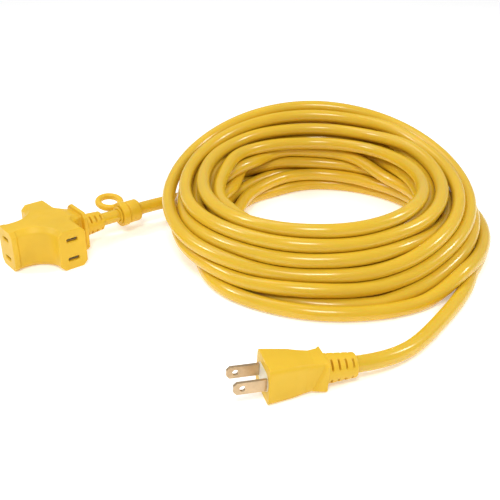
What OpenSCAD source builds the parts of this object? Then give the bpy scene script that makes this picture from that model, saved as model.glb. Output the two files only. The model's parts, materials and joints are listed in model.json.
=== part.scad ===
// Extension cord: a cross-shaped triple tap, a coiled two-core lead with a
// hanging ring on it, and a flat two-blade plug.
//
// Frame: +Z up, the floor is z = 0. The origin is under the middle of the tap
// (its own pieces, from the end socket's face to the end of the cord guard).
// +X runs along the tap from the end socket to the cord, and the side sockets
// face -Y (front) and +Y (back).

/* [Tap] */
// Height of the tap
tap_h = 26; // [24:0.5:30]
// Width of each socket arm
arm_w = 18; // [17:0.5:19]
// Face to face span of the two side sockets
side_span = 52; // [50:1:58]
// From the middle of the cross to the end socket's face
end_reach = 31; // [30:1:36]
// Bevel along the arms' long edges
edge_bevel = 3; // [2:0.5:4]
// Rubbery wall over the inner housing
wall = 3; // [2.5:0.5:3]

/* [Blades and slots] */
// Distance between the two blades, and between the two slots
blade_pitch = 12.7; // [12.6:0.1:12.8]
// Width of a blade
blade_w = 6.3; // [6:0.1:6.4]
// Thickness of a blade
blade_t = 1.5; // [1.4:0.1:1.6]
// How far the blades stand out of the plug's face
blade_l = 16; // [15.5:0.5:18.5]
// Radius of the lock hole in each blade
lock_hole_r = 1.5; // [1.5:0.05:1.6]
// Length of a socket slot
slot_l = 7.4; // [7:0.1:7.6]
// Height of a socket slot
slot_t = 2.4; // [2:0.1:2.6]

/* [Plug] */
// Width of the plug's face
face_w = 21; // [20:0.5:24]
// Height of the plug's face
face_h = 19.5; // [19:0.5:21]
// Length of the plug's body, from its face to the cord guard
body_l = 30; // [30:1:34]
// Turn of the plug about the vertical
plug_yaw = -23; // [-28:1:-18]

/* [Cord] */
// Diameter of the cord
cord_d = 8.4; // [8.2:0.1:8.6]
// Diameter of one insulated core inside it
core_d = 3.1; // [2.8:0.1:3.2]

/* [Hanging ring] */
// Radius of the eye's hole
eye_r = 5.5; // [4:0.25:6]
// How far the ring leans back from upright, about the cord
ring_lean = 80; // [20:1:100]

/* [Hidden] */
$fn = 64;
EPS = 0.01;
MOULD_GAP = 0.05;

// Tap, measured from the middle of the cross
mid_z = tap_h / 2;
arc_r = 14;
rear_arc_r = 6;
neck_w = 16;
neck_slope = 20;
flange_x = 16;
flange_w = 23;
flange_h = 26;
flange_t = 2.5;
arc_steps = 12;
flange_bevel = 3;
guard_l = 14.5;
guard_root_d = 15;
guard_tip_d = 12.4;
tap_l = end_reach + flange_x + flange_t + guard_l;
cross_x = end_reach - tap_l / 2;
cord_exit_x = tap_l / 2;
lip = 1;
lip_l = 3.5;

// Ribs of both cord guards
grooves = 4;
groove_w = 1;
groove_pitch = 3.7;
groove_floor_d = 9.6;
groove_web_w = 4.6;

// Sockets: [turn about the vertical, reach from the middle of the cross]
END = [180, end_reach];
FRONT = [-90, side_span / 2];
BACK = [90, side_span / 2];
SOCKETS = [END, FRONT, BACK];
line_z = mid_z + blade_pitch / 2;
neutral_z = mid_z - blade_pitch / 2;

// Inner housing of the tap
lid_t = 2;
housing_w = arm_w - 2 * wall;
housing_h = tap_h - 2 * wall;
housing_rear = 7;
housing_wall = 2;
core_h = housing_h - 2 * lid_t;
pocket_w = 7.6;
pocket_depth = 2.1;

// Contacts, bus bars and crimps
clip_l = 12;
clip_w = 6.6;
clip_t = 0.5;
clip_half_h = 1.6;
clip_back = clip_half_h - clip_t;
clip_pinch = 0.7;
clip_gap = 0.2;
leaf_root = 0.3 * clip_l;
leaf_waist = 0.75 * clip_l;
bus_t = 0.8;
bus_w = 5;
crimp_r = 1.7;
crimp_bore_r = 1.1;
crimp_l = 5;
crimp_web = 1;
crimp_x = 7.5;
bare_l = crimp_l - crimp_web;
wire_r = core_d / 2;
wire_gap = 0.1;
wire_mid = wire_r + wire_gap;
wire_bend_l = 10;
wire_lead = 0.4;
wire_slack = 1.5;
wire_steps = 8;
wire_sides = 12;
channel_half = wire_mid + wire_r + wire_gap;

// Plug, measured from the middle of its face
waist_x = 23.5;
waist_w = 14.5;
waist_h = 15.5;
shoulder_x = 28.5;
shoulder_round = 1.5;
shoulder_w = 17;
shoulder_h = 16;
body_round = 2.5;
front_x = 13;
front_draft_w = 2;
front_draft_h = 1.4;
slab = 0.1;
holder_w = 17;
holder_h = 10;
holder_l = 8;
plug_guard_l = 16;
plug_l = body_l + plug_guard_l;
tail_l = 1;
tail_h = 3.2;
blade_tip_bevel = 1.6;
hole_from_face = 11.7;
plug_tilt = 3;
plug_at = [9.4, -192.2, 9.8];
plug_axis = [cos(plug_tilt) * cos(plug_yaw), cos(plug_tilt) * sin(plug_yaw), -sin(plug_tilt)];
plug_tail = plug_at + plug_l * plug_axis;

// Hanging ring, on the level stretch of cord behind the tap
ring_at = [48.3, 0, 12.9];
band_w = 4.5;
band_r = 8;
spigot_r = 5.2;
running_gap = 0.08;
band_gap = 0.3;
lip_r = 6;
sleeve_lip_l = 1;
sleeve_r = 7.3;
sleeve_l = 9.5;
sleeve_bevel = 1.2;
sleeve_bore_r = cord_d / 2 + MOULD_GAP;
eye_tube_r = 2.2;
eye_flat = 0.3;
eye_mid_r = eye_r + eye_tube_r - eye_flat;
eye_offset = 16.6;

// Cord: 12-sided tubes along hand-set routes, and the coil's outer shape
tube_sides = 12;
cord_r = cord_d / 2;
floor_z = cord_r;
tap_route = [
    [cord_exit_x, 0, mid_z], [37, 0, 12.98], [42, 0, 12.9], [52, 0, 12.9], [63, 0, 12.9],
    [74, -0.6, 12.85], [85, -2.2, 12.75], [95, -4.1, 12.65], [104.5, -5.9, 12.6],
    [113.5, -7.4, 12.6], [122.2, -8.4, 12.6],
];
plug_route = [
    plug_tail, [56.3, -212.05, 7.15], [64.2, -214.8, 6.7], [74.5, -216.6, 6], [85, -216.6, 5.3],
    [92.2, -215.5, 4.8], [101, -213.5, 4.4], [112, -210.6, floor_z], [126, -206.8, floor_z],
    [141, -202.2, floor_z], [155.5, -196.8, floor_z], [169.5, -190, floor_z], [182.5, -181.8, floor_z],
];
coil_at = [142.4, -87.8];
base_at = [153.6, -97.8];
coil_in_r = 58;
coil_out_r = 108;
coil_low = 17.5;
coil_h = 53;
base_in_r = 64;
base_out_r = 103;
base_h = 28;
coil_round = 8;
coil_turn = -39;
coil_tilt = 5;

// ---------------------------------------------------------------- helpers

// A box from two corners
module box(lo, hi) {
    translate(lo) cube(hi - lo);
}

// A rectangle with bevelled corners, centred
module bevelled_rect(w, h, c) {
    polygon([
        [-w / 2 + c, -h / 2], [w / 2 - c, -h / 2], [w / 2, -h / 2 + c], [w / 2, h / 2 - c],
        [w / 2 - c, h / 2], [-w / 2 + c, h / 2], [-w / 2, h / 2 - c], [-w / 2, -h / 2 + c],
    ]);
}

// A rectangle with round corners, centred
module rounded_rect(w, h, r) {
    square([w - 2 * r, h], center = true);
    square([w, h - 2 * r], center = true);
    for (x = [-1, 1], y = [-1, 1])
        translate([x * (w / 2 - r), y * (h / 2 - r)]) circle(r);
}

// Lays a flat shape across the X axis and gives it a length along X:
// the shape's x goes to Y and its y goes to Z
module along_x(length) {
    rotate([90, 0, 90]) linear_extrude(length) children();
}

function unit(v) = v / norm(v);

// Direction of a route at point i
function heading(route, i) =
    unit(route[min(i + 1, len(route) - 1)] - route[max(i - 1, 0)]);

// A tube swept along a route, square to it at both ends
module tube(route, r, sides) {
    rings = len(route);
    points = [
        for (i = [0 : rings - 1])
        let (t = heading(route, i), side = unit(cross(t, [0, 0, 1])), up = cross(side, t))
        for (k = [0 : sides - 1])
        let (a = 360 * k / sides)
        route[i] + r * (cos(a) * side + sin(a) * up)
    ];
    walls = [
        for (i = [0 : rings - 2], k = [0 : sides - 1])
        let (a = i * sides + k, b = i * sides + (k + 1) % sides)
        each [[a, b, b + sides], [a, b + sides, a + sides]]
    ];
    start = [for (k = [0 : sides - 1]) sides - 1 - k];
    end = [for (k = [0 : sides - 1]) (rings - 1) * sides + k];
    polyhedron(points = points, faces = concat([start], walls, [end]));
}

// Puts its children at the tap's cross, turned so that +X points out of a socket
module at_socket(socket) {
    translate([cross_x, 0, 0]) rotate(socket[0]) children();
}

module at_plug() {
    translate(plug_at) rotate([0, plug_tilt, plug_yaw]) children();
}

module at_ring() {
    translate(ring_at) children();
}

// Route of a core that shifts sideways in an S and then runs straight:
// across goes from one value to the other as x goes from start to end
function core_route(start, end, from, to) =
    let (bend = start + wire_lead)
    concat(
        [[start, from]],
        [for (i = [0 : wire_steps])
            let (s = i / wire_steps, ease = s * s * (3 - 2 * s))
            [bend + s * wire_bend_l, from + ease * (to - from)]],
        [[(bend + wire_bend_l + end) / 2, to], [end, to]]
    );

// Ribbed cord guard along +X from the origin
module cord_guard(length, root_d, tip_d) {
    first = (length - (grooves - 1) * groove_pitch) / 2;
    difference() {
        rotate([0, 90, 0]) cylinder(h = length, d1 = root_d, d2 = tip_d);
        for (i = [0 : grooves - 1])
            translate([first + i * groove_pitch, 0, 0]) guard_groove(root_d);
    }
}

// One ring-shaped groove, broken by four webs, so that its slots face the diagonals
module guard_groove(outer_d) {
    difference() {
        translate([-groove_w / 2, 0, 0]) rotate([0, 90, 0]) difference() {
            cylinder(h = groove_w, d = outer_d + 2);
            translate([0, 0, -1]) cylinder(h = groove_w + 2, d = groove_floor_d);
        }
        for (turn = [0, 90])
            rotate([turn, 0, 0]) cube([2 * groove_w, groove_web_w, 2 * outer_d], center = true);
    }
}

// ---------------------------------------------------------------- tap

// A round inner corner of the plan, from one angle to another
function plan_arc(at, r, from, to) =
    [for (i = [0 : arc_steps]) at + r * [cos(from + (to - from) * i / arc_steps),
                                         sin(from + (to - from) * i / arc_steps)]];

// Front half of the tap's plan, with its long edges moved in by inset
function half_plan(inset) =
    let (arm = arm_w / 2 - inset, front = arm_w / 2 + arc_r, rear = neck_w / 2 + rear_arc_r)
    concat(
        [[-end_reach, -arm]],
        plan_arc([-front, -front], arc_r + inset, 90, 0),
        [[-arm, -side_span / 2], [arm, -side_span / 2]],
        plan_arc([arm_w / 2 + rear_arc_r, -rear], rear_arc_r + inset, 180, 90),
        [[flange_x, inset - neck_w / 2]]
    );

// The whole plan, counter-clockwise
function plan(inset) =
    let (half = half_plan(inset), last = len(half) - 1)
    concat(half, [for (i = [0 : last]) [half[last - i].x, -half[last - i].y]]);

// The cross: the plan, bevelled at the top and bottom. Both caps fan out from the middle.
module cross_solid() {
    levels = [[0, edge_bevel], [edge_bevel, 0], [tap_h - edge_bevel, 0], [tap_h, edge_bevel]];
    n = len(plan(0));
    rim = [for (level = levels) each [for (p = plan(level[1])) [p.x, p.y, level[0]]]];
    low = len(rim);
    top = 3 * n;
    walls = [
        for (i = [0 : 2], k = [0 : n - 1])
        let (a = i * n + k, b = i * n + (k + 1) % n)
        each [[a, b + n, b], [a, a + n, b + n]]
    ];
    floor_fan = [for (k = [0 : n - 1]) [low, k, (k + 1) % n]];
    top_fan = [for (k = [0 : n - 1]) [low + 1, top + (k + 1) % n, top + k]];
    polyhedron(points = concat(rim, [[0, 0, 0], [0, 0, tap_h]]),
               faces = concat(walls, floor_fan, top_fan));
}

// The raised lip round the end socket's face
module end_lip() {
    translate([end_reach - lip_l, 0, mid_z]) along_x(lip_l)
        bevelled_rect(arm_w + 2 * lip, tap_h, edge_bevel);
}

// Wedges that slope the top and bottom down to the neck
module neck_slopes() {
    for (top = [0, 1])
        translate([arm_w / 2, 0, top * tap_h]) mirror([0, 0, top]) rotate([0, -neck_slope, 0])
            translate([0, -side_span / 2, -tap_h]) cube([2 * flange_x, side_span, tap_h]);
}

// Where the core block, the two lids and their contents sit
module housing_envelope(low, high) {
    for (s = SOCKETS)
        at_socket(s) box([0, -housing_w / 2, low], [s[1] - wall, housing_w / 2, high]);
    translate([cross_x, 0, 0])
        box([-EPS, -housing_w / 2, low], [housing_rear, housing_w / 2, high]);
}

// The two slots of every socket, from a depth inside to the face
module socket_slots(depth) {
    for (s = SOCKETS, z = [line_z, neutral_z])
        at_socket(s) box([s[1] - depth, -slot_l / 2, z - slot_t / 2],
                         [s[1] + EPS, slot_l / 2, z + slot_t / 2]);
}

// Route of one insulated core in the tap: from its crimp to the end of the guard
function tap_wire_route(z, side) =
    [for (p = core_route(cross_x + crimp_x + crimp_l, cord_exit_x, z, mid_z + side * wire_mid))
        [p.x, 0, p.y]];

// The chamber that the overmould leaves round the crimps and the two cores
module tap_channels() {
    bend = crimp_x + crimp_l + wire_lead + wire_slack;
    spread = blade_pitch / 2 + crimp_r + MOULD_GAP;
    translate([cross_x, 0, mid_z]) {
        rotate([90, 0, 0]) linear_extrude(2 * (crimp_r + MOULD_GAP), center = true) polygon([
            [housing_rear - EPS, -spread], [bend, -spread],
            [bend + wire_bend_l, -channel_half], [tap_l - end_reach + EPS, -channel_half],
            [tap_l - end_reach + EPS, channel_half], [bend + wire_bend_l, channel_half],
            [bend, spread], [housing_rear - EPS, spread],
        ]);
        box([housing_rear - EPS, -bus_w / 2 - clip_gap, -spread],
            [crimp_x, bus_w / 2 + clip_gap, spread]);
    }
}

module tap_solid() {
    translate([cross_x, 0, 0]) {
        difference() {
            cross_solid();
            neck_slopes();
        }
        rotate(180) end_lip();
        translate([flange_x - EPS, 0, mid_z]) along_x(flange_t + 2 * EPS)
            bevelled_rect(flange_w, flange_h, flange_bevel);
        translate([flange_x + flange_t, 0, mid_z])
            cord_guard(guard_l, guard_root_d, guard_tip_d);
    }
}

module tap_overmould() {
    color("gold") difference() {
        tap_solid();
        housing_envelope(wall, tap_h - wall);
        socket_slots(wall + EPS);
        tap_channels();
    }
}

// Pockets for one pole's contacts and bus bar, open on one side
module pole_pockets(z, open_z) {
    low = min(z - pocket_depth, open_z);
    high = max(z + pocket_depth, open_z);
    for (s = SOCKETS)
        at_socket(s) {
            box([s[1] - wall - housing_wall - clip_gap - clip_l - clip_gap, -pocket_w / 2, low],
                [s[1] - wall - housing_wall, pocket_w / 2, high]);
            box([0, -bus_w / 2 - clip_gap, low], [clip_foot(s), bus_w / 2 + clip_gap, high]);
        }
    translate([cross_x, 0, 0])
        box([-EPS, -bus_w / 2 - clip_gap, low], [housing_rear + EPS, bus_w / 2 + clip_gap, high]);
}

module tap_core() {
    color("ivory") difference() {
        housing_envelope(mid_z - core_h / 2, mid_z + core_h / 2);
        pole_pockets(line_z, mid_z + core_h / 2 + EPS);
        pole_pockets(neutral_z, mid_z - core_h / 2 - EPS);
        socket_slots(wall + housing_wall + EPS);
    }
}

module tap_core_lid(low) {
    color("ivory") housing_envelope(low, low + lid_t);
}

module tap_core_upper_lid() {
    tap_core_lid(mid_z + core_h / 2);
}

module tap_core_lower_lid() {
    tap_core_lid(mid_z - core_h / 2 - lid_t);
}

// A flat strip that joins one pole's three contacts and its crimp
module bus_bar(z) {
    color("darkgoldenrod") translate([0, 0, z - bus_t / 2]) {
        for (s = SOCKETS)
            at_socket(s) box([0, -bus_w / 2, 0], [clip_foot(s), bus_w / 2, bus_t]);
        translate([cross_x, 0, 0]) box([-EPS, -bus_w / 2, 0], [crimp_x, bus_w / 2, bus_t]);
    }
}

module line_bus_bar() {
    bus_bar(line_z);
}

module neutral_bus_bar() {
    bus_bar(neutral_z);
}

// How far from the middle of the cross a socket's contact ends
function clip_foot(socket) = socket[1] - wall - housing_wall - clip_gap - clip_l;

// One leaf of a contact, from its root to its mouth, on the outer or inner side
function leaf_side(back, pinch) = [[leaf_root, back], [leaf_waist, pinch], [clip_l, back]];

function reversed(list) = [for (i = [len(list) - 1 : -1 : 0]) list[i]];

function mirrored(list) = [for (p = list) [p.x, -p.y]];

// A spring contact: two leaves that pinch a blade, joined by a web at the foot
module contact(socket, z) {
    outer = concat([[0, clip_half_h]], leaf_side(clip_half_h, clip_pinch + clip_t));
    inner = concat([[clip_t, clip_back]], leaf_side(clip_back, clip_pinch));
    outline = concat(outer, reversed(inner), mirrored(inner), mirrored(reversed(outer)));
    color("darkgoldenrod") at_socket(socket)
        translate([clip_foot(socket), clip_w / 2, z]) rotate([90, 0, 0])
            linear_extrude(clip_w) polygon(outline);
}

module end_line_contact() {
    contact(END, line_z);
}

module end_neutral_contact() {
    contact(END, neutral_z);
}

module front_line_contact() {
    contact(FRONT, line_z);
}

module front_neutral_contact() {
    contact(FRONT, neutral_z);
}

module back_line_contact() {
    contact(BACK, line_z);
}

module back_neutral_contact() {
    contact(BACK, neutral_z);
}

// A barrel along +X with a closed foot, crimped on a bare conductor
module crimp() {
    color("darkgoldenrod") rotate([0, 90, 0]) difference() {
        cylinder(h = crimp_l, r = crimp_r);
        translate([0, 0, crimp_web]) cylinder(h = crimp_l, r = crimp_bore_r);
    }
}

module bare_conductor() {
    color("peru") translate([crimp_web, 0, 0]) rotate([0, 90, 0])
        cylinder(h = bare_l, r = crimp_bore_r);
}

module at_tap_crimps() {
    for (z = [line_z, neutral_z])
        translate([cross_x + crimp_x, 0, z]) children();
}

module tap_crimps() {
    at_tap_crimps() crimp();
}

module tap_bare_conductors() {
    at_tap_crimps() bare_conductor();
}

module tap_line_wire() {
    color("black") tube(tap_wire_route(line_z, 1), wire_r, wire_sides);
}

module tap_neutral_wire() {
    color("white") tube(tap_wire_route(neutral_z, -1), wire_r, wire_sides);
}

// ---------------------------------------------------------------- hanging ring

// A strap that turns on the sleeve's spigot, and the eye that stands on it
module hang_ring() {
    color("gold") at_ring() difference() {
        union() {
            rotate([0, 90, 0]) cylinder(h = band_w, r = band_r, center = true);
            rotate([-ring_lean, 0, 0]) translate([0, 0, eye_offset]) rotate([90, 0, 0])
                rotate_extrude() translate([eye_mid_r, 0]) eye_section();
        }
        rotate([0, 90, 0]) cylinder(h = 2 * band_w, r = spigot_r + running_gap, center = true);
    }
}

// Round wire with a narrow flat land on its inner side
module eye_section() {
    difference() {
        circle(eye_tube_r);
        translate([eye_r - eye_mid_r - eye_tube_r, 0])
            square([2 * eye_tube_r, 2 * eye_tube_r], center = true);
    }
}

// A sleeve fixed on the cord: a lip, a spigot for the ring and a thick grip
module ring_sleeve() {
    seat = band_w / 2 + band_gap;
    color("gold") at_ring() rotate([0, 90, 0]) difference() {
        union() {
            translate([0, 0, -seat - sleeve_lip_l]) cylinder(h = sleeve_lip_l, r = lip_r);
            translate([0, 0, -seat - EPS]) cylinder(h = 2 * seat + 2 * EPS, r = spigot_r);
            translate([0, 0, seat]) cylinder(h = sleeve_bevel, r1 = sleeve_r - sleeve_bevel, r2 = sleeve_r);
            translate([0, 0, seat + sleeve_bevel])
                cylinder(h = sleeve_l - 2 * sleeve_bevel, r = sleeve_r);
            translate([0, 0, seat + sleeve_l - sleeve_bevel])
                cylinder(h = sleeve_bevel, r1 = sleeve_r, r2 = sleeve_r - sleeve_bevel);
        }
        cylinder(h = 4 * sleeve_l, r = sleeve_bore_r, center = true);
    }
}

// ---------------------------------------------------------------- cord

module cord_tap_lead() {
    color("gold") tube(tap_route, cord_r, tube_sides);
}

module cord_plug_lead() {
    color("gold") tube(plug_route, cord_r, tube_sides);
}

// A ring with a round-cornered section, standing on z = low
module coil_ring(inner, outer, low, high) {
    rotate_extrude() translate([(inner + outer) / 2, (low + high) / 2])
        rounded_rect(outer - inner, high - low, coil_round);
}

// The coil's outer shape: the lower turns lie flat and a little to one side, and the
// upper turns lean, higher at the back than at the front
module cord_coil() {
    color("gold") {
        translate([coil_at.x, coil_at.y, 0]) rotate([0, 0, coil_turn]) rotate([coil_tilt, 0, 0])
            coil_ring(coil_in_r, coil_out_r, coil_low, coil_h);
        translate([base_at.x, base_at.y, 0]) coil_ring(base_in_r, base_out_r, 0, base_h);
    }
}

// ---------------------------------------------------------------- plug

// A thin slice of the plug's body at a distance from the face
module body_slice(x, w, h, round) {
    translate([x, 0, 0]) along_x(slab) rounded_rect(w, h, round, $fn = $fn / 2);
}

// The body narrows to a waist and flares out to a shoulder with a flat back
module plug_body() {
    hull() {
        body_slice(0, face_w, face_h, body_round);
        body_slice(front_x, face_w - front_draft_w, face_h - front_draft_h, body_round);
    }
    hull() {
        body_slice(front_x, face_w - front_draft_w, face_h - front_draft_h, body_round);
        body_slice(waist_x, waist_w, waist_h, body_round);
    }
    hull() {
        body_slice(waist_x, waist_w, waist_h, body_round);
        body_slice(shoulder_x, shoulder_w, shoulder_h, shoulder_round);
        body_slice(body_l - slab, shoulder_w, shoulder_h, shoulder_round);
    }
}

// The oval block that carries the blades
module holder_solid(length) {
    along_x(length) {
        square([holder_w - holder_h, holder_h], center = true);
        for (side = [-1, 1]) translate([side * (holder_w - holder_h) / 2, 0]) circle(d = holder_h);
    }
}

// One blade, from its bevelled tip to the tail that its crimp stands on
module blade_solid() {
    difference() {
        rotate([90, 0, 0]) translate([0, 0, -blade_t / 2]) linear_extrude(blade_t) {
            polygon([
                [-blade_l, -blade_w / 2 + blade_tip_bevel], [-blade_l + blade_tip_bevel, -blade_w / 2],
                [holder_l, -blade_w / 2], [holder_l, blade_w / 2],
                [-blade_l + blade_tip_bevel, blade_w / 2], [-blade_l, blade_w / 2 - blade_tip_bevel],
            ]);
            translate([holder_l - EPS, -tail_h / 2]) square([tail_l + EPS, tail_h]);
        }
        translate([-hole_from_face, 0, 0]) rotate([90, 0, 0])
            cylinder(h = 2 * blade_t, r = lock_hole_r, center = true);
    }
}

module at_blade(side) {
    at_plug() translate([0, side * blade_pitch / 2, 0]) children();
}

// Route of one insulated core in the plug: from its crimp to the end of the guard
function plug_wire_route(side) =
    [for (p = core_route(holder_l + tail_l + crimp_l, plug_l, side * blade_pitch / 2, side * wire_mid))
        [p.x, p.y, 0]];

// The chamber that the overmould leaves round the blade tails, crimps and cores
module plug_channels() {
    bend = holder_l + tail_l + crimp_l + wire_lead + wire_slack;
    spread = blade_pitch / 2 + crimp_r + MOULD_GAP;
    linear_extrude(2 * (crimp_r + MOULD_GAP), center = true) polygon([
        [holder_l - EPS, -spread], [bend, -spread],
        [bend + wire_bend_l, -channel_half], [plug_l + EPS, -channel_half],
        [plug_l + EPS, channel_half], [bend + wire_bend_l, channel_half],
        [bend, spread], [holder_l - EPS, spread],
    ]);
}

module plug_overmould() {
    color("gold") at_plug() difference() {
        union() {
            plug_body();
            translate([body_l - EPS, 0, 0])
                cord_guard(plug_guard_l + EPS, guard_root_d, guard_tip_d);
        }
        translate([-EPS, 0, 0]) holder_solid(holder_l + EPS);
        plug_channels();
    }
}

module plug_blade_holder() {
    color("ivory") at_plug() difference() {
        holder_solid(holder_l);
        for (side = [-1, 1])
            translate([0, side * blade_pitch / 2, 0])
                box([-EPS, -blade_t / 2, -blade_w / 2], [holder_l + EPS, blade_t / 2, blade_w / 2]);
    }
}

module plug_line_blade() {
    color("tan") at_blade(1) blade_solid();
}

module plug_neutral_blade() {
    color("tan") at_blade(-1) blade_solid();
}

module plug_crimps() {
    for (side = [-1, 1]) at_blade(side) translate([holder_l + tail_l, 0, 0]) crimp();
}

module plug_bare_conductors() {
    for (side = [-1, 1]) at_blade(side) translate([holder_l + tail_l, 0, 0]) bare_conductor();
}

module plug_line_wire() {
    color("black") at_plug() tube(plug_wire_route(1), wire_r, wire_sides);
}

module plug_neutral_wire() {
    color("white") at_plug() tube(plug_wire_route(-1), wire_r, wire_sides);
}

tap_overmould();
tap_core();
tap_core_upper_lid();
tap_core_lower_lid();
line_bus_bar();
neutral_bus_bar();
end_line_contact();
end_neutral_contact();
front_line_contact();
front_neutral_contact();
back_line_contact();
back_neutral_contact();
tap_crimps();
tap_bare_conductors();
tap_line_wire();
tap_neutral_wire();
hang_ring();
ring_sleeve();
cord_tap_lead();
cord_coil();
cord_plug_lead();
plug_overmould();
plug_blade_holder();
plug_line_blade();
plug_neutral_blade();
plug_crimps();
plug_bare_conductors();
plug_line_wire();
plug_neutral_wire();
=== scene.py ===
"""Looks for the extension cord.

It is a cross-shaped tap, a coiled yellow cord with a hanging ring, and a flat two-blade plug.
"""

import json
import math

import bpy
import numpy as np
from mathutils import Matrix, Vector


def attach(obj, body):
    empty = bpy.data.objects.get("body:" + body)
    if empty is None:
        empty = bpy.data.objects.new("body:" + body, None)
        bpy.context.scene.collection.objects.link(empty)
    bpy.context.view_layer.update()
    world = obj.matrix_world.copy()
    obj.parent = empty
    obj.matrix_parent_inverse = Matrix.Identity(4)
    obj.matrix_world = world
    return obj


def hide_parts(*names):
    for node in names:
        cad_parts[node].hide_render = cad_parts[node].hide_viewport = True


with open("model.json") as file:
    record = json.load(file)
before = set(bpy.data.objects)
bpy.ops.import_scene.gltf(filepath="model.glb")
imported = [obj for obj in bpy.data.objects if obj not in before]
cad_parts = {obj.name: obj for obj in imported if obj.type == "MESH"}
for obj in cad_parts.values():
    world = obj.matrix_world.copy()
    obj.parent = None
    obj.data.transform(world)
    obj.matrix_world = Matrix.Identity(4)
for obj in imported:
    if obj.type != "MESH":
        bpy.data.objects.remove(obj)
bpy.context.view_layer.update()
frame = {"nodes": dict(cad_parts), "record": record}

MM = 0.001
BASE = "cord_and_ends"
RING = "hanging_ring"


# ---------------------------------------------------------------- camera

VIEW_TURN = -39.0
VIEW_DOWN = 27.5
CAMERA_AT = Vector((-179.8, -416.4, 229.0)) * MM
LENS = 55.8
SENSOR_WIDTH = 36.0
CLIP_RANGE = (0.01, 20.0)


def make_camera():
    """A camera at the photograph's angle: turned about the vertical, and tipped down."""
    turn = math.radians(VIEW_TURN)
    down = math.radians(VIEW_DOWN)
    ahead = Vector((
        -math.sin(turn) * math.cos(down),
        math.cos(turn) * math.cos(down),
        -math.sin(down),
    ))
    data = bpy.data.cameras.new("camera")
    data.lens = LENS
    data.sensor_width = SENSOR_WIDTH
    data.clip_start, data.clip_end = CLIP_RANGE
    camera = bpy.data.objects.new("camera", data)
    bpy.context.scene.collection.objects.link(camera)
    camera.location = CAMERA_AT
    camera.rotation_mode = "QUATERNION"
    camera.rotation_quaternion = ahead.to_track_quat("-Z", "Y")
    bpy.context.scene.camera = camera


make_camera()


# ---------------------------------------------------------------- cord route, in millimetres

CORD_D = 8.4
FLOOR_Z = CORD_D / 2         # height of the middle of a cord that lies on the floor
LEVEL = 7.28                 # from one layer of turns to the next
COIL_AT = np.array([142.4, -87.8])
FIRST_ANGLE = 51.0           # direction of the coil's back, where the first turn starts
TURN_STEPS = 24              # steps in a quarter turn, as planned
LEAD_STEPS = 10              # steps between two points of the leads
STEP = 6.0                   # between two points of the cord as it settles
TUBE_STEP = 4.0              # between two rings of the finished tube
FINER = 4                    # steps between two settled points, before the tube's steps
TIGHTEST_BEND = 42.0         # radius below which settling opens a bend

# From the tap towards the coil, and from the plug towards the coil, as in part.scad
TAP_ROUTE = [
    (32, 0, 13), (37, 0, 12.98), (42, 0, 12.9), (52, 0, 12.9), (63, 0, 12.9), (74, -0.6, 12.85),
    (85, -2.2, 12.75), (95, -4.1, 12.65), (104.5, -5.9, 12.6), (113.5, -7.4, 12.6),
    (122.2, -8.4, 12.6),
]
PLUG_ROUTE = [
    (51.7, -210.1, 7.4), (56.3, -212.05, 7.15), (64.2, -214.8, 6.7), (74.5, -216.6, 6),
    (85, -216.6, 5.3), (92.2, -215.5, 4.8), (101, -213.5, 4.4), (112, -210.6, 4.2),
    (126, -206.8, 4.2), (141, -202.2, 4.2), (155.5, -196.8, 4.2), (169.5, -190, 4.2),
    (182.5, -181.8, 4.2),
]
# How the tap's lead comes down over the second turn to join the outermost one on the floor
JOINING = [
    (131.3, -8.0, 12.5), (140.4, -6.8, 11.6), (149.6, -5.1, 9.8), (158.8, -3.8, 7.6),
    (167.9, -3.3, 5.8), (176.8, -3.8, 4.7), (186.2, -5.5, 4.2), (195.0, -8.4, 4.2),
]

# Where each turn passes the back, the right, the front and the left of the coil: its distance
# from the coil's middle, and its layer, where layer 0 lies on the floor
BACK = [
    (99.5, 0), (91.1, 0), (82.7, 0), (81.5, 1.1), (89.9, 1.1), (98.3, 1.1), (95, 2.3),
    (86.6, 2.3), (88, 3.4), (96.4, 3.4), (94, 4.6), (102.5, 4.6), (100, 5.7), (84, 4.6),
    (91.5, 5.8), (96.5, 7.0), (105, 7.6), (103.4, 2.3), (106.2, 1.1), (108.5, 0),
]
RIGHT = [
    (99.5, 0), (91, 0), (82.6, 0), (78, 1), (86.5, 1), (95, 1), (90.5, 2), (82, 2), (73.5, 2),
    (69, 3), (77.5, 3), (86, 3), (73, 4), (67, 5), (79, 5), (89.5, 4.6), (97, 4), (100, 2.7),
    (106.5, 1.1), (104.5, 0),
]
FRONT = [
    (85.3, 0), (76.9, 0), (68.5, 0), (64.3, 1), (72.7, 1), (81.1, 1), (76.9, 2), (68.5, 2),
    (60, 2), (64.3, 2.8), (72.7, 2.8), (81.1, 2.8), (68.5, 3.8), (72.7, 4.8), (76.9, 3.8),
    (85.3, 1.9), (89.5, 1), (92, 0), (99, 0),
]
LEFT = [
    (74.1, 0), (65.7, 0), (57.3, 0), (61.5, 1), (69.9, 1), (78.3, 1), (82.5, 2), (74.1, 2),
    (65.7, 2), (69.9, 3), (78.3, 3), (86.7, 3), (66, 3.9), (74.5, 4.9), (86, 4.5), (97, 3.5),
    (91, 2), (86.7, 1), (80.5, 0),
]

# How the cord settles
EVENING_ROUNDS = 10          # rounds that even out the plan's corners first
EVENING_OF_ENDS = 0.3        # how much of that the held ends take part in
TAP_HELD = 50                # length of cord held where it is, behind the tap
PLUG_HELD = 130              # and behind the plug
LOOSENS_OVER = 60            # length over which the cord comes loose after that
NEIGHBOURS = 4               # diameters along the cord that can't press on each other
WATCH = 4                    # how close to touching two points are when they are watched
WATCH_ROUNDS = 10            # rounds from one search for such points to the next
BESIDE = 0.6                 # share of a step within which two points are side by side
PUSH = 1.6                   # gain on the pushes that clear an overlap
PUSH_SPREAD = 2.5            # points over which a push spreads, as a standard deviation
OPENING = 0.7                # share of a tight bend's excess that is opened in a round
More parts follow.
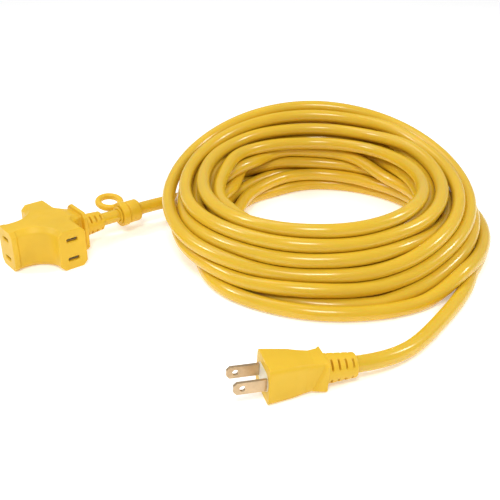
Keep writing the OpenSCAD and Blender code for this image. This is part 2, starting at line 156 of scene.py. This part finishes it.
# Each pass: its rounds, the pull back to the plan, and the fall in each round
SETTLING = [(500, 0.01, 0.0), (300, 0.003, 0.01), (150, 0.0, 0.0)]
TINY = 1e-9                  # added where a zero would fail


def smooth_through(points, count):
    """A Catmull-Rom curve through the points, with count steps between two of them."""
    p = np.asarray(points, float)
    p = np.vstack([2 * p[0] - p[1], p, 2 * p[-1] - p[-2]])
    t = np.linspace(0, 1, count, endpoint=False)[:, None]
    parts = []
    for i in range(1, len(p) - 2):
        a, b, c, d = p[i - 1:i + 3]
        parts.append(0.5 * (2 * b + (c - a) * t + (2 * a - 5 * b + 4 * c - d) * t**2
                            + (3 * b - a - 3 * c + d) * t**3))
    return np.vstack(parts + [p[-2:-1]])


def even_steps(points, step):
    """The same line with points a step apart."""
    along = np.concatenate([[0], np.cumsum(np.linalg.norm(np.diff(points, axis=0), axis=1))])
    marks = np.linspace(0, along[-1], int(round(along[-1] / step)) + 1)
    return np.stack([np.interp(marks, along, points[:, k]) for k in range(3)], 1)


def planned_turns():
    """The coil before it settles: the turns pass their places in order, clockwise from above."""
    stations = []
    for k, back in enumerate(BACK):
        stations += [back, RIGHT[k]]
        if k < len(FRONT):
            stations += [FRONT[k], LEFT[k]]
    places = smooth_through(stations, TURN_STEPS)
    quarters = np.linspace(0, len(stations) - 1, len(places))
    angle = np.radians(FIRST_ANGLE - 90 * quarters)
    x = COIL_AT[0] + places[:, 0] * np.cos(angle)
    y = COIL_AT[1] + places[:, 0] * np.sin(angle)
    return np.stack([x, y, FLOOR_Z + LEVEL * places[:, 1]], 1)


def tangents(points):
    """The direction of the line at each of its points."""
    t = np.gradient(points, axis=0)
    return t / np.linalg.norm(t, axis=1)[:, None]


def spread_out(moves, sigma):
    """Shares each move with its neighbours along the cord, so that the cord stays smooth."""
    reach = int(3 * sigma)
    weights = np.exp(-0.5 * (np.arange(-reach, reach + 1) / sigma) ** 2)
    weights /= weights.sum()
    return np.stack([np.convolve(moves[:, k], weights, "same") for k in range(3)], 1)


def near_pairs(points, reach, skip):
    """Pairs of points closer than reach that aren't neighbours along the cord."""
    square = (points**2).sum(1)
    gap = square[:, None] + square[None, :] - 2 * points @ points.T
    return np.nonzero(np.triu(gap < reach * reach, skip))


def straightening(points):
    """Moves that open the bends that are tighter than TIGHTEST_BEND."""
    sag = np.zeros_like(points)
    sag[1:-1] = 0.5 * (points[:-2] + points[2:]) - points[1:-1]
    size = np.linalg.norm(sag, axis=1)[:, None] + TINY
    return sag * np.clip(1 - STEP**2 / (2 * TIGHTEST_BEND) / size, 0, 1)


def settle(points, loose, rounds, hold, sink):
    """Pushes turns apart until they lie side by side and on each other, a diameter apart."""
    points, plan = points.copy(), points.copy()
    skip = int(math.ceil(NEIGHBOURS * CORD_D / STEP))
    for r in range(rounds):
        if r % WATCH_ROUNDS == 0:
            i, j = near_pairs(points, CORD_D + WATCH, skip)
        t = tangents(points)
        mean = t[i] + np.sign((t[i] * t[j]).sum(1) + TINY)[:, None] * t[j]
        mean /= np.linalg.norm(mean, axis=1)[:, None]
        apart = points[i] - points[j]
        slip = (apart * mean).sum(1)
        across = apart - slip[:, None] * mean
        gap = np.linalg.norm(across, axis=1) + TINY
        bite = np.where((np.abs(slip) < BESIDE * STEP) & (gap < CORD_D), CORD_D - gap, 0)
        push = across / gap[:, None] * (bite / 2)[:, None]
        moves = np.zeros_like(points)
        np.add.at(moves, i, push)
        np.add.at(moves, j, -push)
        moves = PUSH * spread_out(moves, PUSH_SPREAD)
        moves = moves + hold * (plan - points) - np.array([0, 0, sink])
        moves += OPENING * straightening(points)
        points += moves * loose[:, None]
        points[:, 2] = np.maximum(points[:, 2], FLOOR_Z)
    return points


def cord_route():
    """The whole cord, from the tap to the plug."""
    tap_end = smooth_through(TAP_ROUTE + JOINING, LEAD_STEPS)
    plug_end = smooth_through(PLUG_ROUTE, LEAD_STEPS)[::-1]
    points = even_steps(np.vstack([tap_end, planned_turns(), plug_end]), STEP)
    along = STEP * np.arange(len(points))
    from_tap = np.clip((along - TAP_HELD) / LOOSENS_OVER, 0, 1)
    from_plug = np.clip((along[-1] - along - PLUG_HELD) / LOOSENS_OVER, 0, 1)
    loose = from_tap * from_plug
    ease = np.clip(loose + EVENING_OF_ENDS, 0, 1)[:, None]
    for _ in range(EVENING_ROUNDS):
        middle = points.copy()
        middle[1:-1] = 0.5 * points[1:-1] + 0.25 * (points[:-2] + points[2:])
        points += (middle - points) * ease
    for rounds, hold, sink in SETTLING:
        points = settle(points, loose, rounds, hold, sink)
    return points


# ---------------------------------------------------------------- mesh helpers

def make_piece(name, points, faces, material, smooth=True):
    mesh = bpy.data.meshes.new(name)
    mesh.from_pydata([tuple(p) for p in points], [], faces)
    mesh.validate()
    mesh.update()
    for polygon in mesh.polygons:
        polygon.use_smooth = smooth
    piece = bpy.data.objects.new(name, mesh)
    bpy.context.scene.collection.objects.link(piece)
    piece.data.materials.append(material)
    return piece


def tube_mesh(route, radius, sides):
    """Points and faces of a tube on the route, turned as little as possible from ring to ring."""
    t = tangents(route)
    side = np.cross(t[0], (0, 0, 1.0))
    rings = []
    angle = 2 * math.pi * np.arange(sides) / sides
    for p, heading in zip(route, t):
        side = side - heading * (side @ heading)
        side /= np.linalg.norm(side)
        up = np.cross(side, heading)
        around = np.cos(angle)[:, None] * side + np.sin(angle)[:, None] * up
        rings.append(p + radius * around)
    points = np.vstack(rings)
    faces = []
    for r in range(len(route) - 1):
        for k in range(sides):
            a, b = r * sides + k, r * sides + (k + 1) % sides
            faces.append((a, a + sides, b + sides, b))
    faces.append(tuple(range(sides)))
    faces.append(tuple(reversed(range(len(points) - sides, len(points)))))
    return points, faces


def add_lengthwise_uv(piece, rings, sides, length):
    """U runs once round the tube, and V along it in metres."""
    uv = piece.data.uv_layers.new(name="cord")
    for polygon in piece.data.polygons:
        is_cap = len(polygon.vertices) != 4
        at_seam = not is_cap and any(v % sides == sides - 1 for v in polygon.vertices)
        for loop in polygon.loop_indices:
            ring, k = divmod(piece.data.loops[loop].vertex_index, sides)
            wraps = k == 0 and at_seam
            uv.data[loop].uv = ((k + sides * wraps) / sides, ring / (rings - 1) * length)


def moulded_copy(node, name, material, voxel, rounds):
    """A soft-edged moulded skin in the shape of a CAD node."""
    source = frame["nodes"][node].data.copy()
    piece = bpy.data.objects.new(name, source)
    bpy.context.scene.collection.objects.link(piece)
    remesh = piece.modifiers.new("remesh", "REMESH")
    remesh.mode = "VOXEL"
    remesh.voxel_size = voxel
    soften = piece.modifiers.new("soften", "SMOOTH")
    soften.factor = 0.5
    soften.iterations = rounds
    evaluated = piece.evaluated_get(bpy.context.evaluated_depsgraph_get())
    mesh = bpy.data.meshes.new_from_object(evaluated)
    piece.modifiers.clear()
    piece.data = mesh
    mesh.name = name
    mesh.materials.clear()
    mesh.materials.append(material)
    for polygon in mesh.polygons:
        polygon.use_smooth = True
    return piece


# ---------------------------------------------------------------- materials

WHITE = (1.0, 1.0, 1.0, 1.0)


def new_material(name):
    material = bpy.data.materials.new(name)
    material.use_nodes = True
    nodes = material.node_tree.nodes
    return material, nodes, material.node_tree.links, nodes["Principled BSDF"]


def noise(nodes, links, where, scale, detail=3.0, stretch=None):
    """A noise texture in object coordinates, in metres."""
    texture = nodes.new("ShaderNodeTexNoise")
    texture.inputs["Scale"].default_value = scale
    texture.inputs["Detail"].default_value = detail
    if stretch is None:
        links.new(where.outputs["Object"], texture.inputs["Vector"])
    else:
        mapping = nodes.new("ShaderNodeMapping")
        mapping.inputs["Scale"].default_value = stretch
        links.new(where.outputs["Object"], mapping.inputs["Vector"])
        links.new(mapping.outputs["Vector"], texture.inputs["Vector"])
    return texture


def ramp(nodes, links, source, stops):
    """Colours along a source value: stops are (position, colour)."""
    node = nodes.new("ShaderNodeValToRGB")
    links.new(source, node.inputs["Fac"])
    elements = node.color_ramp.elements
    while len(elements) < len(stops):
        elements.new(0.5)
    for element, (position, colour) in zip(elements, stops):
        element.position = position
        element.color = (*colour, 1.0)
    return node


def spread(nodes, links, source, low, high):
    """Maps a noise's usual range to low..high."""
    node = nodes.new("ShaderNodeMapRange")
    node.inputs["From Min"].default_value = 0.3
    node.inputs["From Max"].default_value = 0.7
    node.inputs["To Min"].default_value = low
    node.inputs["To Max"].default_value = high
    links.new(source, node.inputs["Value"])
    return node.outputs["Result"]


def add_bump(nodes, links, shader, height, strength, distance, below=None):
    """Bump on the shader, over another bump if one is given."""
    bump = nodes.new("ShaderNodeBump")
    bump.inputs["Strength"].default_value = strength
    bump.inputs["Distance"].default_value = distance
    links.new(height, bump.inputs["Height"])
    if below is not None:
        links.new(below.outputs["Normal"], bump.inputs["Normal"])
    links.new(bump.outputs["Normal"], shader.inputs["Normal"])
    return bump


def add_glow(shader, weight, radius, scale):
    """Light that goes a little way into the plastic, red furthest."""
    shader.inputs["Subsurface Weight"].default_value = weight
    shader.inputs["Subsurface Radius"].default_value = radius
    shader.inputs["Subsurface Scale"].default_value = scale


def shade(colour, factor):
    """The colour made darker or lighter, up to white."""
    return tuple(min(1.0, c * factor) for c in colour)


def plastic(name, colour, roughness, blotch=45.0, glow=0.0):
    """Moulded plastic: uneven tint, painted shade in the hollows, a fine grain, and a finish that
    varies.
    """
    material, nodes, links, shader = new_material(name)
    where = nodes.new("ShaderNodeTexCoord")
    tint = noise(nodes, links, where, blotch)
    base = ramp(nodes, links, tint.outputs["Fac"],
                [(0.3, shade(colour, 0.93)), (0.7, shade(colour, 1.04))])
    geometry = nodes.new("ShaderNodeNewGeometry")
    # Painted shade: the colour is darkened and turned browner where the surface is hollow,
    # standing in for shade in creases and crevices.
    painted_hollow_shade = ramp(nodes, links, geometry.outputs["Pointiness"],
                   [(0.40, (0.62, 0.52, 0.42)), (0.49, (1, 1, 1)), (0.56, (1, 1, 1))])
    mix = nodes.new("ShaderNodeMix")
    mix.data_type = "RGBA"
    mix.blend_type = "MULTIPLY"
    mix.inputs["Factor"].default_value = 0.8
    links.new(base.outputs["Color"], mix.inputs["A"])
    links.new(painted_hollow_shade.outputs["Color"], mix.inputs["B"])
    links.new(mix.outputs["Result"], shader.inputs["Base Color"])
    finish = noise(nodes, links, where, 160.0, 4.0)
    links.new(spread(nodes, links, finish.outputs["Fac"], roughness - 0.06, roughness + 0.07),
              shader.inputs["Roughness"])
    grain = noise(nodes, links, where, 900.0, 2.0)
    add_bump(nodes, links, shader, grain.outputs["Fac"], strength=0.35, distance=0.03 * MM)
    shader.inputs["IOR"].default_value = 1.4
    if glow:
        add_glow(shader, glow, (1.0, 0.55, 0.15), 0.002)
    return material


def cord_jacket(name, colour):
    """Extruded PVC: glossy, with faint long waves over the twisted cores and a few scuffs."""
    material, nodes, links, shader = new_material(name)
    where = nodes.new("ShaderNodeTexCoord")
    tint = noise(nodes, links, where, 28.0)
    base = ramp(nodes, links, tint.outputs["Fac"],
                [(0.3, shade(colour, 0.94)), (0.7, shade(colour, 1.03))])
    links.new(base.outputs["Color"], shader.inputs["Base Color"])
    scuffs = noise(nodes, links, where, 220.0, 5.0)
    links.new(spread(nodes, links, scuffs.outputs["Fac"], 0.17, 0.27),
              shader.inputs["Roughness"])
    waves = nodes.new("ShaderNodeTexWave")
    waves.inputs["Scale"].default_value = 9.0
    waves.inputs["Distortion"].default_value = 1.5
    slant = nodes.new("ShaderNodeMapping")
    slant.inputs["Rotation"].default_value = (0, 0, 0.25)
    slant.inputs["Scale"].default_value = (0.15, 1.0, 1.0)
    links.new(where.outputs["UV"], slant.inputs["Vector"])
    links.new(slant.outputs["Vector"], waves.inputs["Vector"])
    over_cores = add_bump(nodes, links, shader, waves.outputs["Fac"],
                          strength=0.05, distance=0.04 * MM)
    fine = noise(nodes, links, where, 700.0, 3.0)
    add_bump(nodes, links, shader, fine.outputs["Fac"],
             strength=0.2, distance=0.02 * MM, below=over_cores)
    shader.inputs["IOR"].default_value = 1.52
    add_glow(shader, 0.25, (1.0, 0.35, 0.10), 0.003)
    return material


def metal(name, colour, roughness, stretch):
    """Sheet metal with a drawn grain along one direction and slight tarnish."""
    material, nodes, links, shader = new_material(name)
    where = nodes.new("ShaderNodeTexCoord")
    tarnish = noise(nodes, links, where, 180.0, 5.0)
    base = ramp(nodes, links, tarnish.outputs["Fac"],
                [(0.3, shade(colour, 0.82)), (0.65, colour)])
    links.new(base.outputs["Color"], shader.inputs["Base Color"])
    shader.inputs["Metallic"].default_value = 1.0
    grain = noise(nodes, links, where, 420.0, 3.0, stretch)
    links.new(spread(nodes, links, grain.outputs["Fac"], roughness - 0.08, roughness + 0.1),
              shader.inputs["Roughness"])
    add_bump(nodes, links, shader, grain.outputs["Fac"], strength=0.3, distance=0.02 * MM)
    return material


mould_yellow = plastic("mould_yellow", (0.775, 0.480, 0.025), 0.42, glow=0.12)
jacket_yellow = cord_jacket("jacket_yellow", (0.735, 0.468, 0.025))
ivory = plastic("ivory", (0.82, 0.75, 0.58), 0.38, blotch=90.0, glow=0.25)
black = plastic("black_insulation", (0.025, 0.025, 0.027), 0.4)
white = plastic("white_insulation", (0.82, 0.82, 0.80), 0.4)
contact_brass = metal("contact_brass", (0.80, 0.60, 0.28), 0.32, (1, 1, 6))
blade_brass = metal("blade_brass", (0.62, 0.45, 0.27), 0.36, (1, 1, 8))
copper = metal("copper", (0.83, 0.42, 0.26), 0.35, (0.3, 6, 6))


# ---------------------------------------------------------------- plug body

# Half widths of the plug's body in millimetres, as distances from the face and half widths there:
# the CAD body's, those of the hollowed sides, and those past the crease
CAD_FLANK = ([0, 13, 23.5, 28.5, 30], [10.5, 9.5, 7.25, 8.5, 8.5])
HOLLOW = ([0, 4, 10, 14, 19, 24, 30], [10.5, 10.05, 9.2, 8.6, 7.6, 7.1, 7.0])
FLARE = ([0, 20, 28.5, 30], [7.4, 7.7, 8.5, 8.5])
BODY_LENGTH = 30.0
BODY_HALF_HEIGHT = 8.2
CREASE_AT = 25.0             # where the crease is at half height
CREASE_SLANT = 3.3           # how far it moves from there to the top
CREASE_WIDTH = 1.8


def hollow_sides(piece):
    """Gives the plug's sides a shallow hollow that ends in a slanting crease at the shoulder."""
    face = next(m for m in frame["record"]["mounts"] if m["name"] == "plug_face")
    ahead = -np.array(face["axis"])
    side = np.cross((0, 0, 1), ahead)
    side /= np.linalg.norm(side)
    turn = np.stack([ahead, side, np.cross(ahead, side)], 1)
    vertices = piece.data.vertices
    points = np.empty(3 * len(vertices))
    vertices.foreach_get("co", points)
    local = (points.reshape(-1, 3) - face["pos_m"]) @ turn / MM
    along = local[:, 0]
    height = np.clip(local[:, 2] / BODY_HALF_HEIGHT, -1, 1)
    past = np.clip((along - CREASE_AT - CREASE_SLANT * height) / CREASE_WIDTH, 0, 1)
    past = past * past * (3 - 2 * past)
    wanted = (1 - past) * np.interp(along, *HOLLOW) + past * np.interp(along, *FLARE)
    on_body = (along > 0) & (along < BODY_LENGTH)
    local[:, 1] *= np.where(on_body, wanted / np.interp(along, *CAD_FLANK), 1)
    vertices.foreach_set("co", (local * MM @ turn.T + face["pos_m"]).ravel())
    piece.data.update()


# ---------------------------------------------------------------- pieces

CORD_SIDES = 20
INTO_MOULDING = 1.5          # how far the cord's ends run on into the mouldings

# The mouldings: node, piece, body, voxel in metres, and rounds of smoothing
MOULDINGS = [
    ("tap_overmould", "tap_body", BASE, 0.00035, 10),
    ("plug_overmould", "plug_body", BASE, 0.00028, 5),
    ("ring_sleeve", "sleeve_body", BASE, 0.00022, 4),
    ("hang_ring", "ring_body", RING, 0.00022, 4),
]
# The finish of the CAD nodes that stay, by the record's material slot
FINISHES = {
    "ivory_plastic": ivory,
    "contact_brass": contact_brass,
    "blade_brass": blade_brass,
    "copper": copper,
    "black_pvc": black,
    "white_pvc": white,
}


def tube_route():
    """The cord's middle line in metres, with its ends run on into the mouldings."""
    route = even_steps(smooth_through(cord_route(), FINER), TUBE_STEP)
    route[:, 2] = np.maximum(route[:, 2], FLOOR_Z)
    at_tap = (route[0] - route[1]) / np.linalg.norm(route[0] - route[1])
    at_plug = (route[-1] - route[-2]) / np.linalg.norm(route[-1] - route[-2])
    first = route[0] + INTO_MOULDING * at_tap
    last = route[-1] + INTO_MOULDING * at_plug
    return np.vstack([first, route, last]) * MM


def make_cord(route):
    """The one cord that stands for its three CAD solids."""
    length = float(np.linalg.norm(np.diff(route, axis=0), axis=1).sum())
    cord = make_piece("cord", *tube_mesh(route, CORD_D / 2 * MM, CORD_SIDES), jacket_yellow)
    add_lengthwise_uv(cord, len(route), CORD_SIDES, length)
    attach(cord, BASE)
    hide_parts("cord_tap_lead", "cord_coil", "cord_plug_lead")
    return cord


def make_mouldings():
    """The moulded pieces, by name."""
    pieces = {}
    for node, name, _, voxel, rounds in MOULDINGS:
        pieces[name] = moulded_copy(node, name, mould_yellow, voxel, rounds)
    hollow_sides(pieces["plug_body"])
    for node, name, body, _, _ in MOULDINGS:
        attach(pieces[name], body)
        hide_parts(node)
    return pieces


def finish_cad_nodes():
    """Gives the CAD nodes that stay their materials."""
    slot_of = {row["node"]: row["material_slot"] for row in frame["record"]["subparts"]}
    for node, piece in frame["nodes"].items():
        if slot_of[node] in FINISHES:
            piece.data.materials.clear()
            piece.data.materials.append(FINISHES[slot_of[node]])


def declare_cord(mouldings):
    """Lists the pieces on the cord (plug, sleeve and ring bodies and the plug's CAD nodes); the
    list is not used.
    """
    on_cord = [mouldings[name] for name in ("plug_body", "sleeve_body", "ring_body")]
    for node in sorted(frame["nodes"]):
        if node.startswith("plug_") and node != "plug_overmould":
            on_cord.append(frame["nodes"][node])


def make_pieces():
    route = tube_route()
    cord = make_cord(route)
    mouldings = make_mouldings()
    finish_cad_nodes()
    declare_cord(mouldings)


make_pieces()


# ---------------------------------------------------------------- floor and light

FLOOR_HALF = 6.0
WORLD_STRENGTH = 0.46
AIM = (0.11, -0.09, 0.02)
# Name, place, size and power of each lamp
LAMPS = [
    ("key", (-0.35, -0.55, 0.95), (0.30, 0.30), 5.0),
    ("fill", (0.85, -0.55, 0.70), (0.16, 0.16), 2.9),
    ("left", (-0.45, 0.38, 0.70), (0.16, 0.16), 2.2),
    ("top", (0.05, 0.45, 1.1), (0.9, 0.5), 2.6),
]


def make_floor():
    """A pale floor that glows a little, so that it stays white between the lamps' pools."""
    material, nodes, links, shader = new_material("floor")
    where = nodes.new("ShaderNodeTexCoord")
    tint = noise(nodes, links, where, 3.0)
    base = ramp(nodes, links, tint.outputs["Fac"],
                [(0.3, (0.95, 0.95, 0.95)), (0.7, (0.97, 0.97, 0.97))])
    links.new(base.outputs["Color"], shader.inputs["Base Color"])
    shader.inputs["Roughness"].default_value = 0.7
    shader.inputs["Specular IOR Level"].default_value = 0.2
    shader.inputs["Emission Color"].default_value = WHITE
    shader.inputs["Emission Strength"].default_value = 0.3
    half = FLOOR_HALF
    corners = [(-half, -half, 0), (half, -half, 0), (half, half, 0), (-half, half, 0)]
    floor = make_piece("floor", corners, [(0, 1, 2, 3)], material, smooth=False)


def add_lamp(name, at, size, power):
    """A rectangular lamp that faces the object."""
    data = bpy.data.lights.new(name, "AREA")
    data.shape = "RECTANGLE"
    data.size, data.size_y = size
    data.energy = power
    lamp = bpy.data.objects.new(name, data)
    bpy.context.scene.collection.objects.link(lamp)
    lamp.location = at
    lamp.rotation_mode = "QUATERNION"
    lamp.rotation_quaternion = (Vector(AIM) - Vector(at)).to_track_quat("-Z", "Y")


def make_light():
    world = bpy.data.worlds.new("studio")
    bpy.context.scene.world = world
    world.use_nodes = True
    background = world.node_tree.nodes["Background"]
    background.inputs["Color"].default_value = WHITE
    background.inputs["Strength"].default_value = WORLD_STRENGTH
    for lamp in LAMPS:
        add_lamp(*lamp)


make_floor()
make_light()
bpy.context.scene.view_settings.view_transform = "Standard"
